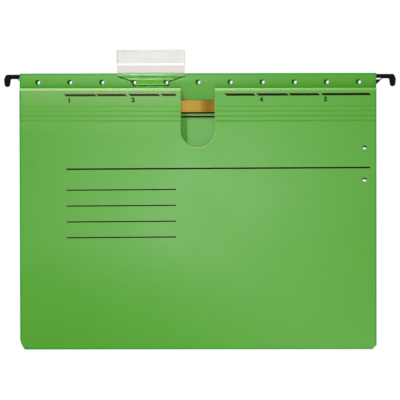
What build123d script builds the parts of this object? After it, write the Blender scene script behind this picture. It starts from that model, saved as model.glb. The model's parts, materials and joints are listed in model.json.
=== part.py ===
from build123d import *
import os

# Hanging file folder: a green card cover folded over a steel strip whose two hook ends sit on
# cabinet rails. +X is to the right, +Y to the back and +Z up, in millimetres. The origin is
# midway between the two hook seats, at the height of the seats.

# Hooks and hanger rail
rail_spacing = 330.0  # between the middles of the two hook seats
seat_width = 6.0  # underside of a hook arm, from the brace to the tip
tip_width = 6.25
tip_drop = 7.0  # tip below the seat
tip_slant = 2.2  # slanted outer corner above the tip
tip_taper = 1.0  # each side of the tip draws in by this much towards its end
tip_rounding = 0.56  # share of the end's width that each of its corners is rounded by
shoulder_rounding = 1.8  # top of the slanted corner
side_rounding = 6.0  # foot of the slanted corner
corner_rounding = 1.0
arm_height = 4.0
brace_drop = 7.5  # the brace runs down and inwards at 45 degrees
hook_thickness = 3.0  # outside the header
root_thickness = 2.0  # inside the header
rim_width = 1.1
web_recess = 0.6
window_height = 1.2
window_level = -0.2  # middle of the window above the seat
window_wall = 0.8
strip_height = 9.8
strip_thickness = 1.0
socket_depth = 7.0
socket_clearance = 0.05
lock_diameter = 3.0

# Card of the two covers
card = 0.45
glue_line = 0.05
root_clearance = 0.1  # between a hook's root and each layer of the header
end_clearance = 0.5  # between the header's end and the thick part of a hook
hook_exposure = 6.65  # from the header's end to the middle of the seat
rail_shift = 1.75  # the rail sits this far to the right in the header
header_rise = 5.0  # header's top above the seats
header_height = 13.1
header_fold = 0.6
body_height = 245.3
left_clip_width = 4.2
left_clip_height = 9.3
left_clip_bulge = 0.7
right_clip = 3.8

# Front cover: its roof stands out from the header, and it bends at a top fold and at creases
cover_gap = 5.5
glue_fold = 0.7  # sharp fold from the glue flap to the roof
roof_fold = 1.6  # rounder fold from the roof to the front
fold_drop = 2.3  # hinge line of the top fold below the roof
first_crease = 16.3  # below the roof
crease_pitch = 4.37
crease_count = 4
crease_gap = 0.1
notch_width = 30.2
notch_depth = 52.5
bridge_margin = 2.0  # the glue flap's cut-out is this much wider than the thumb notch
bridge_cover = 0.7  # the bar hides this much of the glue flap's edges

# Inner flap of the back cover, which carries the fastener
flap_width = 190.0
flap_corner = 5.0
flap_margin = 1.5
flap_bend_height = 4.0
flap_bend = 1.5
flap_lap = 12.0

# Holes for index tabs
tab_hole_pitch = 28.5
tab_hole_drop = 7.8  # below the header's top
front_hole = 4.4
back_hole = 3.0
back_hole_right = 1.5  # the back layer's holes lie a little right of the front ones, and lower
back_hole_down = 0.5
strip_hole = 5.2
hole_edge = 0.3  # least steel between the last hole and a hook
side_hole = 3.5
side_hole_inset = 10.5
side_hole_drop = 53.0  # upper side hole below the roof
side_hole_pitch = 28.5
back_side_hole_down = 1.8

# Filing fastener
prong_spacing = 80.0
prong_width = 5.0
prong_thickness = 0.35
prong_margin = 1.0  # a locked slider covers the prong's tip by this much
prong_bend = 0.5
prong_tip = 2.0
prong_seat = 0.05
slit_width = 2.0
slit_clearance = 0.3
bar_drop = 10.7  # bar's top below the roof
bar_height = 11.0
bar_overhang = 32.0  # bar's end beyond a prong's root
bar_sheet = 0.5
bar_corner = 0.5
bar_seat = 0.1
channel_depth = 1.4
lip_width = 1.65
end_stop = 0.8
slider_length = 14.0
slider_clearance = 0.15
slider_end_gap = 4.2  # from a locked slider to the bar's closed end
slider_corner = 0.4
grip_length = 10.0
grip_rise = 0.65
grip_groove = 0.8
grip_groove_depth = 0.3
grip_groove_pitch = 2.2
grip_groove_count = 4

# Index tab
tab_first_hole = -2  # counted from the middle hole of the header
tab_width = 60.5
tab_rise = 20.7  # above the header's top
tab_wall = 0.5
tab_plate = 0.6
tab_seat = 0.05
label_slot = 0.5
label_thickness = 0.3
label_clearance = 0.1
bead_radius = 1.0
bead_level = 7.8  # sleeve's bead above the header's top
foot_radius = 0.6
foot_drop = 1.4  # foot bead below the header's top
tongue_start = 3.3  # below the header's top the plate is full width down to here,
tongue_narrow = 7.8  # as narrow as its tongue here,
tongue_end = 11.6  # and ends here
tongue_margin = 2.2  # tongue's side beyond a peg hole's middle
tongue_corner = 0.6
peg_clearance = 0.1  # round a peg's head where it passes the holes
peg_neck = 0.2  # step from the head down to the peg
peg_head_length = 0.8
peg_reach = 1.0  # behind the back layer

# Places along X
seat_inner = (rail_spacing - seat_width) / 2
seat_outer = (rail_spacing + seat_width) / 2
tip_outer = seat_outer + tip_width
strip_end = seat_inner - brace_drop
socket_start = strip_end - socket_depth
body_width = rail_spacing - 2 * hook_exposure
body_middle = -rail_shift
body_left = body_middle - body_width / 2
body_right = body_middle + body_width / 2
thick_start = body_width / 2 + abs(rail_shift) + end_clearance
hole_room = socket_start - abs(rail_shift) - strip_hole / 2 - hole_edge
holes_each_side = int(hole_room / tab_hole_pitch)
tab_holes = [body_middle + k * tab_hole_pitch for k in range(-holes_each_side, holes_each_side + 1)]
hole_offset = (back_hole_right**2 + back_hole_down**2) ** 0.5
peg_share = (front_hole - back_hole + 2 * hole_offset) / 4 / hole_offset  # pegs sit where the holes overlap
peg_right = peg_share * back_hole_right
peg_holes = [body_middle + peg_right + (tab_first_hole + k) * tab_hole_pitch for k in (0, 1)]
tab_middle = sum(peg_holes) / 2
peg_head = (front_hole + back_hole) / 2 - hole_offset - 2 * peg_clearance
peg_diameter = peg_head - 2 * peg_neck
prong_roots = [body_middle - prong_spacing / 2, body_middle + prong_spacing / 2]
side_hole_place = body_right - side_hole_inset
bar_length = prong_spacing + 2 * bar_overhang
slider_middle = prong_roots[1] + bar_overhang - end_stop - slider_end_gap - slider_length / 2
prong_length = slider_middle + slider_length / 2 - prong_margin - prong_roots[1]

# Places along Z
header_top = header_rise
roof_top = header_top - header_height
body_bottom = header_top - body_height
strip_middle = (arm_height - brace_drop) / 2
hole_level = header_top - tab_hole_drop
back_hole_level = hole_level - back_hole_down
peg_level = hole_level - peg_share * back_hole_down
fold_level = roof_top - fold_drop
crease_levels = [roof_top - first_crease - k * crease_pitch for k in range(crease_count)]
notch_round = roof_top - notch_depth + notch_width / 2
bar_top = roof_top - bar_drop
bar_middle = bar_top - bar_height / 2
glue_bottom = bar_top - bar_height + bridge_cover
bridge_top = bar_top - bridge_cover
apron_bottom = bar_top - bar_height - flap_margin
flap_bend_top = roof_top - notch_depth - flap_margin
flap_bend_bottom = flap_bend_top - flap_bend_height
flap_bottom = flap_bend_bottom - flap_lap
side_holes = [roof_top - side_hole_drop, roof_top - side_hole_drop - side_hole_pitch]
tab_top = header_top + tab_rise
bead_middle = header_top + bead_level
slot_bottom = bead_middle + bead_radius + label_clearance
slot_height = tab_top - tab_wall - slot_bottom

# Places along Y, where a negative value is in front of the rail
layer_inner = root_thickness / 2 + root_clearance
layer_middle = layer_inner + card / 2
layer_outer = layer_inner + card
lap_middle = layer_inner - glue_line - card / 2
glue_middle = -(layer_outer + glue_line + card / 2)
cover_inner = -(layer_outer + cover_gap)
cover_middle = cover_inner - card / 2
bar_back = glue_middle - card / 2 - bar_seat
web_front = bar_back - bar_sheet
lip_back = web_front - channel_depth
bar_front = lip_back - bar_sheet
strip_middle_y = -(layer_inner - prong_seat - prong_thickness / 2)
leaf_middle = web_front - prong_seat - prong_thickness / 2
leaf_front = leaf_middle - prong_thickness / 2
plate_back = -(layer_outer + tab_seat)
plate_front = plate_back - tab_plate
plate_middle = (plate_back + plate_front) / 2
sleeve_thickness = 2 * tab_wall + label_slot
through = 2 * (cover_gap + header_height)  # deeper than the whole folder

os.makedirs("parts", exist_ok=True)


def save(piece, name):
    """Label a finished piece and write it under its name."""
    piece.label = name
    export_step(piece, f"parts/{name}.step")


def cover_band(top, bottom):
    """Front view of the cover's card between two heights, with the thumb notch cut out."""
    with BuildSketch(Plane.XZ.offset(-cover_inner)) as band:
        with Locations((body_middle, (top + bottom) / 2)):
            Rectangle(body_width, top - bottom)
        with Locations((body_middle, notch_round)):
            Circle(notch_width / 2, mode=Mode.SUBTRACT)
            Rectangle(notch_width, notch_depth, align=(Align.CENTER, Align.MIN), mode=Mode.SUBTRACT)
    return band.sketch


def clipped_corners():
    """The two bottom corners that are cut off both covers, the left one by a steep, slightly bulging arc."""
    with BuildSketch(Plane.XZ) as corners:
        with BuildLine():
            arc_start = (body_left + left_clip_width, body_bottom)
            arc_end = (body_left, body_bottom + left_clip_height)
            SagittaArc(arc_start, arc_end, left_clip_bulge)
            Polyline(arc_end, (body_left, body_bottom), arc_start)
        make_face()
        with BuildLine():
            Polyline(
                (body_right, body_bottom),
                (body_right, body_bottom + right_clip),
                (body_right - right_clip, body_bottom),
                close=True,
            )
        make_face()
    return corners.sketch


def roof_cutout(width):
    """Front view of what the thumb notch takes out of the spine, above the bridge behind the bar."""
    with BuildSketch(Plane.XZ) as cutout:
        with Locations((body_middle, bridge_top)):
            Rectangle(width, roof_top - bridge_top + card, align=(Align.CENTER, Align.MIN))
    return cutout.sketch


def prong_slits():
    """Front view of the two slits where the prongs pass through a piece."""
    with BuildSketch(Plane.XZ) as slits:
        with Locations(*[(root, bar_middle) for root in prong_roots]):
            Rectangle(slit_width, prong_width + 2 * slit_clearance)
    return slits.sketch


def hook_outline(start):
    """Front view of the right hook, from a place along X out to its tip."""
    tip_radius = (tip_width - 2 * tip_taper) * tip_rounding
    roundings = [0, shoulder_rounding, side_rounding, tip_radius, tip_radius, corner_rounding, 0, 0, 0]
    with BuildSketch(Plane.XZ) as outline:
        with BuildLine():
            FilletPolyline(
                (socket_start, arm_height),
                (tip_outer - tip_slant, arm_height),
                (tip_outer, 0),
                (tip_outer - tip_taper, -tip_drop),
                (seat_outer + tip_taper, -tip_drop),
                (seat_outer, 0),
                (seat_inner, 0),
                (strip_end, -brace_drop),
                (socket_start, -brace_drop),
                radius=roundings,
                close=True,
            )
        make_face()
        with Locations((start, 0)):
            Rectangle(
                tip_outer - start,
                4 * (arm_height + brace_drop + tip_drop),
                align=(Align.MIN, Align.CENTER),
                mode=Mode.INTERSECT,
            )
    return outline.sketch


# Back cover: one sheet that goes up the back, over the rail, down the front of the header, and on
# as the narrower inner flap, which bends back below the thumb notch and is glued to the back panel
with BuildPart() as back_cover:
    with BuildSketch(Plane.YZ.offset(body_left)):
        with BuildLine():
            FilletPolyline(
                (layer_middle, body_bottom),
                (layer_middle, header_top - card / 2),
                (-layer_middle, header_top - card / 2),
                (-layer_middle, apron_bottom),
                radius=header_fold,
            )
        trace(line_width=card)
    extrude(amount=body_width)
    with BuildSketch(Plane.YZ.offset(body_middle - flap_width / 2)):
        with BuildLine():
            FilletPolyline(
                (-layer_middle, bar_middle),
                (-layer_middle, flap_bend_top),
                (lap_middle, flap_bend_bottom),
                (lap_middle, flap_bottom),
                radius=flap_bend,
            )
        trace(line_width=card)
    extrude(amount=flap_width)
    lap_ends = back_cover.edges().filter_by(Axis.Y)
    fillet(lap_ends.filter_by_position(Axis.Z, flap_bottom - card, flap_bottom + card), flap_corner)
    with BuildSketch(Plane.XZ.offset(layer_inner / 2)):
        with Locations(*[(place, hole_level) for place in tab_holes]):
            Circle(front_hole / 2)
    extrude(amount=layer_outer, mode=Mode.SUBTRACT)
    with BuildSketch(Plane.XZ.offset(-layer_inner / 2)):
        with Locations(*[(place + back_hole_right, back_hole_level) for place in tab_holes]):
            Circle(back_hole / 2)
        with Locations(*[(side_hole_place, level - back_side_hole_down) for level in side_holes]):
            Circle(side_hole / 2)
    extrude(amount=-layer_outer, mode=Mode.SUBTRACT)
    extrude(prong_slits(), amount=layer_outer + card, mode=Mode.SUBTRACT)
    extrude(clipped_corners(), amount=through, both=True, mode=Mode.SUBTRACT)
save(back_cover.part, "back_cover")

# Cover spine: the glue flap under the header, the roof, and the turn into the front of the cover.
# A bridge of the glue flap, hidden behind the cover bar, keeps it whole across the thumb notch
with BuildPart() as cover_spine:
    with BuildSketch(Plane.YZ.offset(body_left)):
        with BuildLine():
            FilletPolyline(
                (glue_middle, glue_bottom),
                (glue_middle, roof_top - card / 2),
                (cover_middle, roof_top - card / 2),
                (cover_middle, fold_level + crease_gap / 2),
                radius=[glue_fold, roof_fold],
            )
        trace(line_width=card)
    extrude(amount=body_width)
    extrude(roof_cutout(notch_width), amount=through, mode=Mode.SUBTRACT)
    extrude(roof_cutout(notch_width + 2 * bridge_margin), amount=glue_fold - glue_middle, mode=Mode.SUBTRACT)
    extrude(prong_slits(), amount=-bar_back, mode=Mode.SUBTRACT)
save(cover_spine.part, "cover_spine")

# Front of the cover: a top strip, narrow strips between the creases, and the large front panel,
# all of one thickness of card and parted only by the hinge lines
band_edges = [fold_level] + crease_levels
band_names = ["cover_top_strip"] + [f"cover_strip_{k}" for k in range(1, crease_count)]
for name, upper, lower in zip(band_names, band_edges, band_edges[1:]):
    with BuildPart() as strip:
        extrude(cover_band(upper - crease_gap / 2, lower + crease_gap / 2), amount=card)
    save(strip.part, name)

with BuildPart() as front_cover:
    extrude(cover_band(crease_levels[-1] - crease_gap / 2, body_bottom), amount=card)
    with BuildSketch(Plane.XZ):
        with Locations(*[(side_hole_place, level) for level in side_holes]):
            Circle(side_hole / 2)
    extrude(amount=through, mode=Mode.SUBTRACT)
    extrude(clipped_corners(), amount=through, both=True, mode=Mode.SUBTRACT)
save(front_cover.part, "front_cover")

# Hanger rail: a flat steel strip with clear holes behind the header's tab holes and a lock hole
# in each end, which the hooks are moulded through
with BuildPart() as hanger_rail:
    with Locations((0, 0, strip_middle)):
        Box(2 * strip_end, strip_thickness, strip_height)
    with BuildSketch(Plane.XZ):
        with Locations(*[(place, hole_level) for place in tab_holes]):
            Circle(strip_hole / 2)
        with Locations(*[(side * (strip_end - socket_depth / 2), strip_middle) for side in (-1, 1)]):
            Circle(lock_diameter / 2)
    extrude(amount=through, both=True, mode=Mode.SUBTRACT)
save(hanger_rail.part, "hanger_rail")

# Right hook: a plate in the header that holds the strip's end, and outside it a thicker arm and
# tip with a rim round a recessed web. A small window parts the arm from the brace below it
with BuildPart() as right_hook:
    window_top = window_level + window_height / 2
    window_bottom = window_level - window_height / 2
    window_end = seat_inner - window_wall * 2**0.5
    extrude(hook_outline(socket_start), amount=root_thickness / 2, both=True)
    extrude(hook_outline(thick_start), amount=hook_thickness / 2, both=True)
    for face in (1, -1):
        with BuildSketch(Plane.XZ.offset(face * hook_thickness / 2)):
            add(hook_outline(thick_start))
            offset(amount=-rim_width, kind=Kind.INTERSECTION, mode=Mode.REPLACE)
        extrude(amount=-face * web_recess, mode=Mode.SUBTRACT)
    with BuildSketch(Plane.XZ):
        with BuildLine():
            Polyline(
                (strip_end + window_wall, window_top),
                (window_end + window_top, window_top),
                (window_end + window_bottom, window_bottom),
                (strip_end + window_wall, window_bottom),
                close=True,
            )
        make_face()
    extrude(amount=through, both=True, mode=Mode.SUBTRACT)
    with Locations((strip_end + socket_clearance, 0, strip_middle)):
        Box(
            2 * socket_depth,
            strip_thickness + 2 * socket_clearance,
            strip_height + 2 * socket_clearance,
            align=(Align.MAX, Align.CENTER, Align.CENTER),
            mode=Mode.SUBTRACT,
        )
    with Locations((strip_end - socket_depth / 2, 0, strip_middle)):
        Cylinder(lock_diameter / 2 - socket_clearance, root_thickness, rotation=(90, 0, 0))
save(right_hook.part, "right_hook")

with BuildPart() as left_hook:
    mirror(right_hook.part, about=Plane.YZ)
save(left_hook.part, "left_hook")

# Fastener strip: one soft steel strip that lies behind the inner flap. Its two ends come forward
# through the slits, and fold outwards flat on the web of the cover bar
with BuildPart() as fastener_strip:
    with BuildSketch(Plane.XY.offset(bar_middle - prong_width / 2)):
        with BuildLine():
            FilletPolyline(
                (prong_roots[0] - prong_length, leaf_middle),
                (prong_roots[0], leaf_middle),
                (prong_roots[0], strip_middle_y),
                (prong_roots[1], strip_middle_y),
                (prong_roots[1], leaf_middle),
                (prong_roots[1] + prong_length, leaf_middle),
                radius=prong_bend,
            )
        trace(line_width=prong_thickness)
    extrude(amount=prong_width)
    tip_edges = fastener_strip.edges().filter_by(Axis.Y)
    fillet(tip_edges.group_by(Axis.X)[0] + tip_edges.group_by(Axis.X)[-1], prong_tip)
save(fastener_strip.part, "fastener_strip")

# Cover bar: a brass-coloured channel whose lips turn in over the sliders, with closed ends
with BuildPart() as cover_bar:
    lip_tip = bar_height / 2 - lip_width
    edge_middle = (bar_height - bar_sheet) / 2
    with BuildSketch(Plane.YZ.offset(body_middle - bar_length / 2)):
        with BuildLine():
            FilletPolyline(
                (bar_front + bar_sheet / 2, bar_middle + lip_tip),
                (bar_front + bar_sheet / 2, bar_middle + edge_middle),
                (bar_back - bar_sheet / 2, bar_middle + edge_middle),
                (bar_back - bar_sheet / 2, bar_middle - edge_middle),
                (bar_front + bar_sheet / 2, bar_middle - edge_middle),
                (bar_front + bar_sheet / 2, bar_middle - lip_tip),
                radius=bar_corner,
            )
        trace(line_width=bar_sheet)
    extrude(amount=bar_length)
    channel_middle = (web_front + lip_back) / 2
    for side in (-1, 1):
        with Locations((body_middle + side * (bar_length - end_stop) / 2, channel_middle, bar_middle)):
            Box(end_stop, channel_depth + bar_sheet, bar_height - bar_sheet)
    extrude(prong_slits(), amount=channel_depth / 2 - web_front, mode=Mode.SUBTRACT)
save(cover_bar.part, "cover_bar")

# Right slider: a foot under the channel's lips, relieved to pass over the prong, and a grooved grip
with BuildPart() as right_slider:
    foot_back = web_front - slider_clearance
    foot_front = lip_back + slider_clearance
    grip_front = bar_front - grip_rise
    with Locations((slider_middle, (foot_back + foot_front) / 2, bar_middle)):
        Box(slider_length, foot_back - foot_front, bar_height - 2 * bar_sheet - 2 * slider_clearance)
    with Locations((slider_middle, foot_front, bar_middle)):
        Box(
            grip_length,
            foot_front - grip_front,
            bar_height - 2 * lip_width - 2 * slider_clearance,
            align=(Align.CENTER, Align.MAX, Align.CENTER),
        )
    fillet(right_slider.edges().filter_by(Axis.Y), slider_corner)
    with Locations((slider_middle, foot_back, bar_middle)):
        Box(
            2 * slider_length,
            foot_back - leaf_front + slider_clearance,
            prong_width + 2 * slit_clearance,
            align=(Align.CENTER, Align.MAX, Align.CENTER),
            mode=Mode.SUBTRACT,
        )
    with BuildSketch(Plane.XZ.offset(-grip_front)):
        with Locations((slider_middle, bar_middle)):
            with GridLocations(grip_groove_pitch, bar_height, grip_groove_count, 1):
                Rectangle(grip_groove, bar_height)
    extrude(amount=-grip_groove_depth, mode=Mode.SUBTRACT)
save(right_slider.part, "right_slider")

with BuildPart() as left_slider:
    mirror(right_slider.part, about=Plane.YZ.offset(body_middle))
save(left_slider.part, "left_slider")

# Index tab: a clear plate in front of the header with two pegs in the tab holes, a foot bead, and
# above the header a flat sleeve with a bead along its lower edge
with BuildPart() as index_tab:
    tongue_half = (peg_holes[1] - peg_holes[0]) / 2 + tongue_margin
    with BuildSketch(Plane.XZ.offset(-plate_back)):
        with BuildLine():
            FilletPolyline(
                (tab_middle - tab_width / 2, bead_middle),
                (tab_middle - tab_width / 2, header_top - tongue_start),
                (tab_middle - tongue_half, header_top - tongue_narrow),
                (tab_middle - tongue_half, header_top - tongue_end),
                (tab_middle + tongue_half, header_top - tongue_end),
                (tab_middle + tongue_half, header_top - tongue_narrow),
                (tab_middle + tab_width / 2, header_top - tongue_start),
                (tab_middle + tab_width / 2, bead_middle),
                radius=[0, 0, 0, tongue_corner, tongue_corner, 0, 0, 0],
                close=True,
            )
        make_face()
    extrude(amount=tab_plate)
    with BuildSketch(Plane.YZ.offset(tab_middle - tab_width / 2)):
        with Locations((plate_middle, bead_middle)):
            Rectangle(sleeve_thickness, tab_top - bead_middle, align=(Align.CENTER, Align.MIN))
        with Locations((plate_middle, slot_bottom)):
            Rectangle(label_slot, slot_height, align=(Align.CENTER, Align.MIN), mode=Mode.SUBTRACT)
        with Locations((plate_middle, bead_middle)):
            Circle(bead_radius)
        with Locations((plate_front, header_top - foot_drop)):
            Circle(foot_radius)
        with Locations((plate_back, header_top - foot_drop)):
            Rectangle(foot_radius, 4 * foot_radius, align=(Align.MIN, Align.CENTER), mode=Mode.SUBTRACT)
    extrude(amount=tab_width)
    with BuildSketch(Plane.XZ.offset(-plate_middle)):
        with Locations(*[(place, peg_level) for place in peg_holes]):
            Circle(peg_diameter / 2)
    extrude(amount=-(layer_outer + peg_reach - plate_middle))
    with BuildSketch(Plane.XZ.offset(-(layer_outer + peg_reach))):
        with Locations(*[(place, peg_level) for place in peg_holes]):
            Circle(peg_head / 2)
    extrude(amount=peg_head_length)
save(index_tab.part, "index_tab")

# Tab label: a blank card that slides into the sleeve from the side
with BuildPart() as tab_label:
    with Locations((tab_middle, plate_middle, slot_bottom + slot_height / 2)):
        Box(tab_width, label_thickness, slot_height - 2 * label_clearance)
save(tab_label.part, "tab_label")
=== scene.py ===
"""Hanging file folder: hanger rail and hooks, card covers, filing fastener, printing and index tab."""

import json
from math import cos, pi, radians, sin, tau

import bmesh
import bpy
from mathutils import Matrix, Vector


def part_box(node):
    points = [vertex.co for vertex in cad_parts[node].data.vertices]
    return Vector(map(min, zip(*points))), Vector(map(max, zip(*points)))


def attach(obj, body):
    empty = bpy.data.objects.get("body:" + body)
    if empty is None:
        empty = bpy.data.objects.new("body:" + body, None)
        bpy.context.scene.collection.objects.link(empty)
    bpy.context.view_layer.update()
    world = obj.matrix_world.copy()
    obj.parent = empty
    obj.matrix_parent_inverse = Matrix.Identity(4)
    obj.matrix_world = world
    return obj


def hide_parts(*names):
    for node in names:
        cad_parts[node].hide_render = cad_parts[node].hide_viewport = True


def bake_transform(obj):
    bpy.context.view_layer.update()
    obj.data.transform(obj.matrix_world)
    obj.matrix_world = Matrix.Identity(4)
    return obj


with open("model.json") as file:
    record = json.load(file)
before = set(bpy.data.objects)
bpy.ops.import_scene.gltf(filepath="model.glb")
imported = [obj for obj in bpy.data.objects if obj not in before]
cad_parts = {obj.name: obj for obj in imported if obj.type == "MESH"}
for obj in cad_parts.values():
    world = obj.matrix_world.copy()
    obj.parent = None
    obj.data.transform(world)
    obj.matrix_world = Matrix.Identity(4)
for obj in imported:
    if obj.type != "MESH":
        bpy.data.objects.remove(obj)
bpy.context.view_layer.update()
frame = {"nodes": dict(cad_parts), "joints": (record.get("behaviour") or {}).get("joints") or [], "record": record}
nodes = frame["nodes"]


# Hanger rail. A flat strip of rolled steel under thin black lacquer, slit from coil and punched.
# It lies inside the header, so only its ends and the rims of its holes are ever seen.
grain_depth = 0.00001  # height of the rolling lines


def new_finish(name):
    """A new material, with its node tree and its main shader."""
    material = bpy.data.materials.new(name)
    material.use_nodes = True
    tree = material.node_tree
    return material, tree, tree.nodes["Principled BSDF"]


def new_group(name, *outputs, inputs=("Place",)):
    """An empty shader group that takes one or more places and puts out named values, with its ends."""
    group = bpy.data.node_groups.new(name, "ShaderNodeTree")
    for place in inputs:
        group.interface.new_socket(place, in_out="INPUT", socket_type="NodeSocketVector")
    for output in outputs:
        group.interface.new_socket(output, in_out="OUTPUT", socket_type="NodeSocketFloat")
    start = group.nodes.new("NodeGroupInput")
    end = group.nodes.new("NodeGroupOutput")
    return group, start.outputs, end.inputs


def noise(tree, place, spread, detail=3.0):
    """Noise from 0 to 1 whose scale along each axis is given in waves per metre."""
    mapping = tree.nodes.new("ShaderNodeMapping")
    mapping.inputs["Scale"].default_value = spread
    texture = tree.nodes.new("ShaderNodeTexNoise")
    texture.inputs["Scale"].default_value = 1.0
    texture.inputs["Detail"].default_value = detail
    tree.links.new(place, mapping.inputs["Vector"])
    tree.links.new(mapping.outputs["Vector"], texture.inputs["Vector"])
    return texture.outputs["Fac"]


def piece_place(tree):
    """Place on a piece at rest, in the folder's frame."""
    return tree.nodes.new("ShaderNodeTexCoord").outputs["Object"]


def use_group(tree, group, place, **limits):
    """What a shader group puts out at the given place of a material, with any limits that it takes."""
    node = tree.nodes.new("ShaderNodeGroup")
    node.node_tree = group
    tree.links.new(place, node.inputs["Place"])
    for name, limit in limits.items():
        node.inputs[name].default_value = (*limit, 0.0)
    return node.outputs


def tint(tree, value, shader, dark, light, low=0.3, high=0.7):
    """Colour the shader from dark to light as a value goes from low to high."""
    ramp = tree.nodes.new("ShaderNodeValToRGB")
    for element, position, colour in zip(ramp.color_ramp.elements, (low, high), (dark, light)):
        element.position = position
        element.color = (*colour, 1.0)
    tree.links.new(value, ramp.inputs["Fac"])
    tree.links.new(ramp.outputs["Color"], shader.inputs["Base Color"])
    return ramp.outputs["Color"]


def between(tree, value, start, end, least=0.0, most=1.0, ease="SMOOTHSTEP"):
    """A strength that goes from least to most while a value goes from start to end."""
    limits = tree.nodes.new("ShaderNodeMapRange")
    limits.interpolation_type = ease
    for socket, limit in zip(("From Min", "From Max", "To Min", "To Max"), (start, end, least, most)):
        limits.inputs[socket].default_value = limit
    tree.links.new(value, limits.inputs["Value"])
    return limits.outputs["Result"]


def vary(tree, value, socket, least, most, low=0.3, high=0.7):
    """Drive a shader's value from least to most as another value goes from low to high."""
    tree.links.new(between(tree, value, low, high, least, most, ease="LINEAR"), socket)


def emboss(tree, height, shader, depth):
    """Raise the surface by a height map, up to a depth in metres, under a shader or a finer bump."""
    bump = tree.nodes.new("ShaderNodeBump")
    bump.inputs["Distance"].default_value = depth
    tree.links.new(height, bump.inputs["Height"])
    tree.links.new(bump.outputs["Normal"], shader.inputs["Normal"])


def dress(node, *finishes):
    """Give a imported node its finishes."""
    slots = nodes[node].data.materials
    slots.clear()
    for material in finishes:
        slots.append(material)


rolled_grain, grain_start, grain_end = new_group("rolled_grain", "Lines", "Patches")
grain_lines = noise(rolled_grain, grain_start["Place"], spread=(60, 5000, 5000))
grain_patches = noise(rolled_grain, grain_start["Place"], spread=(30, 90, 90))
rolled_grain.links.new(grain_lines, grain_end["Lines"])
rolled_grain.links.new(grain_patches, grain_end["Patches"])


def strip_metal(name, dark, light, least_rough, most_rough):
    """Strip metal with rolling lines along its length."""
    material, tree, shader = new_finish(name)
    grain = use_group(tree, rolled_grain, piece_place(tree))
    tint(tree, grain["Patches"], shader, dark, light)
    vary(tree, grain["Lines"], shader.inputs["Roughness"], least_rough, most_rough)
    emboss(tree, grain["Lines"], shader, grain_depth)
    shader.inputs["Metallic"].default_value = 1.0
    return material


rail_lacquer = strip_metal(
    "rail_lacquer",
    dark=(0.018, 0.018, 0.019),
    light=(0.035, 0.034, 0.034),
    least_rough=0.3,
    most_rough=0.5,
)
dress("hanger_rail", rail_lacquer)


# Hooks. Two black nylon mouldings, each shot round an end of the steel strip, with a rim round a
# recessed web. The mould leaves a fine satin grain, and handling polishes it a little in places.
hook_dark = (0.0022, 0.0016, 0.0014)
hook_light = (0.0060, 0.0048, 0.0042)
hook_shine = 0.045
mould_depth = 0.00002  # height of the grain that a mould leaves

mould_grain, mould_start, mould_end = new_group("mould_grain", "Grain", "Polish")
mould_fine = noise(mould_grain, mould_start["Place"], spread=(4500, 4500, 4500), detail=2.0)
mould_polish = noise(mould_grain, mould_start["Place"], spread=(160, 160, 160), detail=4.0)
mould_grain.links.new(mould_fine, mould_end["Grain"])
mould_grain.links.new(mould_polish, mould_end["Polish"])

hook_plastic, hook_tree, hook_shader = new_finish("hook_plastic")
hook_grain = use_group(hook_tree, mould_grain, piece_place(hook_tree))
tint(hook_tree, hook_grain["Polish"], hook_shader, hook_dark, hook_light)
vary(hook_tree, hook_grain["Polish"], hook_shader.inputs["Roughness"], least=0.34, most=0.52)
emboss(hook_tree, hook_grain["Grain"], hook_shader, mould_depth)
hook_shader.inputs["Specular IOR Level"].default_value = hook_shine
dress("left_hook", hook_plastic)
dress("right_hook", hook_plastic)


# Back cover. One sheet of green dyed card, die-cut and folded over the rail, glued to itself below
# the thumb notch. Its cut edges show the paler, rougher core of the card.
card_dark = (0.097, 0.403, 0.031)
card_light = (0.108, 0.434, 0.036)
core_dark = (0.335, 0.580, 0.212)
core_light = (0.445, 0.690, 0.310)
card_rough = 0.34
core_rough = 0.75
core_shine = 0.1
rough_spread = 0.04
fibre_depth = 0.000015
fleck_share = 0.45  # share of the flecks in the card's tone
inside_layer = ((0.0004, 0.0006), (0.0014, 0.0012))  # depths round the inner face of the back panel
front_layer = (-0.0012, -0.0014)  # depths at the front of the header and the inner flap
flap_shine = (-0.030, -0.022, 0.25, 0.12)  # the inner flap keeps its glaze, most at its foot
flap_top = (-0.0085, -0.0105)  # heights between which the header goes over to the inner flap
flap_middle = -0.00175
flap_sides = (0.0156, 0.0146)  # nearer to the middle than this, nothing covers the flap
covered_left = (-0.0100, -0.0114)  # left of this the cover lies over the flap,
covered_right = (0.0140, 0.0152)  # and right of this,
covered_top = (-0.019, -0.029)  # below the bar,
covered_dull = 0.75  # where the flap's glaze is duller
covered_shadow_colour = (0.112, 0.462, 0.033)  # and painted in the colour of the notch's cast shadow
header_shine = (0.09, -0.09, 0.16, 0.35)  # the header is rubbed dull on its right
header_fade = (-0.0105, 0.003)  # and towards the fold below it
fold_shade_fade = (-0.003, -0.0085, 0.0, 0.15)  # where it is also painted darker, as shade above the cover's top fold
# Painted shade: a deep green inside the header, behind the side holes and above the cover's top fold
painted_shade_colour = (0.020, 0.240, 0.012)
wear_and_highlight_colour = (0.560, 0.790, 0.365)
worn_foot = (-0.0116, -0.0098)  # heights between which the pale wear and painted highlight of the top fold start below,
worn_top = (-0.0082, -0.0086)  # and above
fold_highlight_fade = (-0.06, 0.15, 1.8, 0.6)  # highlight and wear, from the lit left of the fold to its right
worn_end = (-0.165, -0.09, 0.8, 1.0)  # and weaker at its left end
sheen_rise = (-0.029, -0.009, 0.05, 0.20)  # a painted paler sheen under the fold,
sheen_foot = (-0.052, -0.038, 0.0, 1.0)  # weaker over the creases,
sheen_fade = (-0.04, 0.02, 1.0, 0.0)  # on the left half only
dark_edge_width = 0.0019  # along its cut edges the card is painted a darker green
dark_edge_strength = 0.95
dark_edge_colour = (0.020, 0.360, 0.030)
behind_holes = (0.1461, -0.07555, 0.01425)  # painted shade behind the front's side holes: middle (X, Z), half spacing
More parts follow.
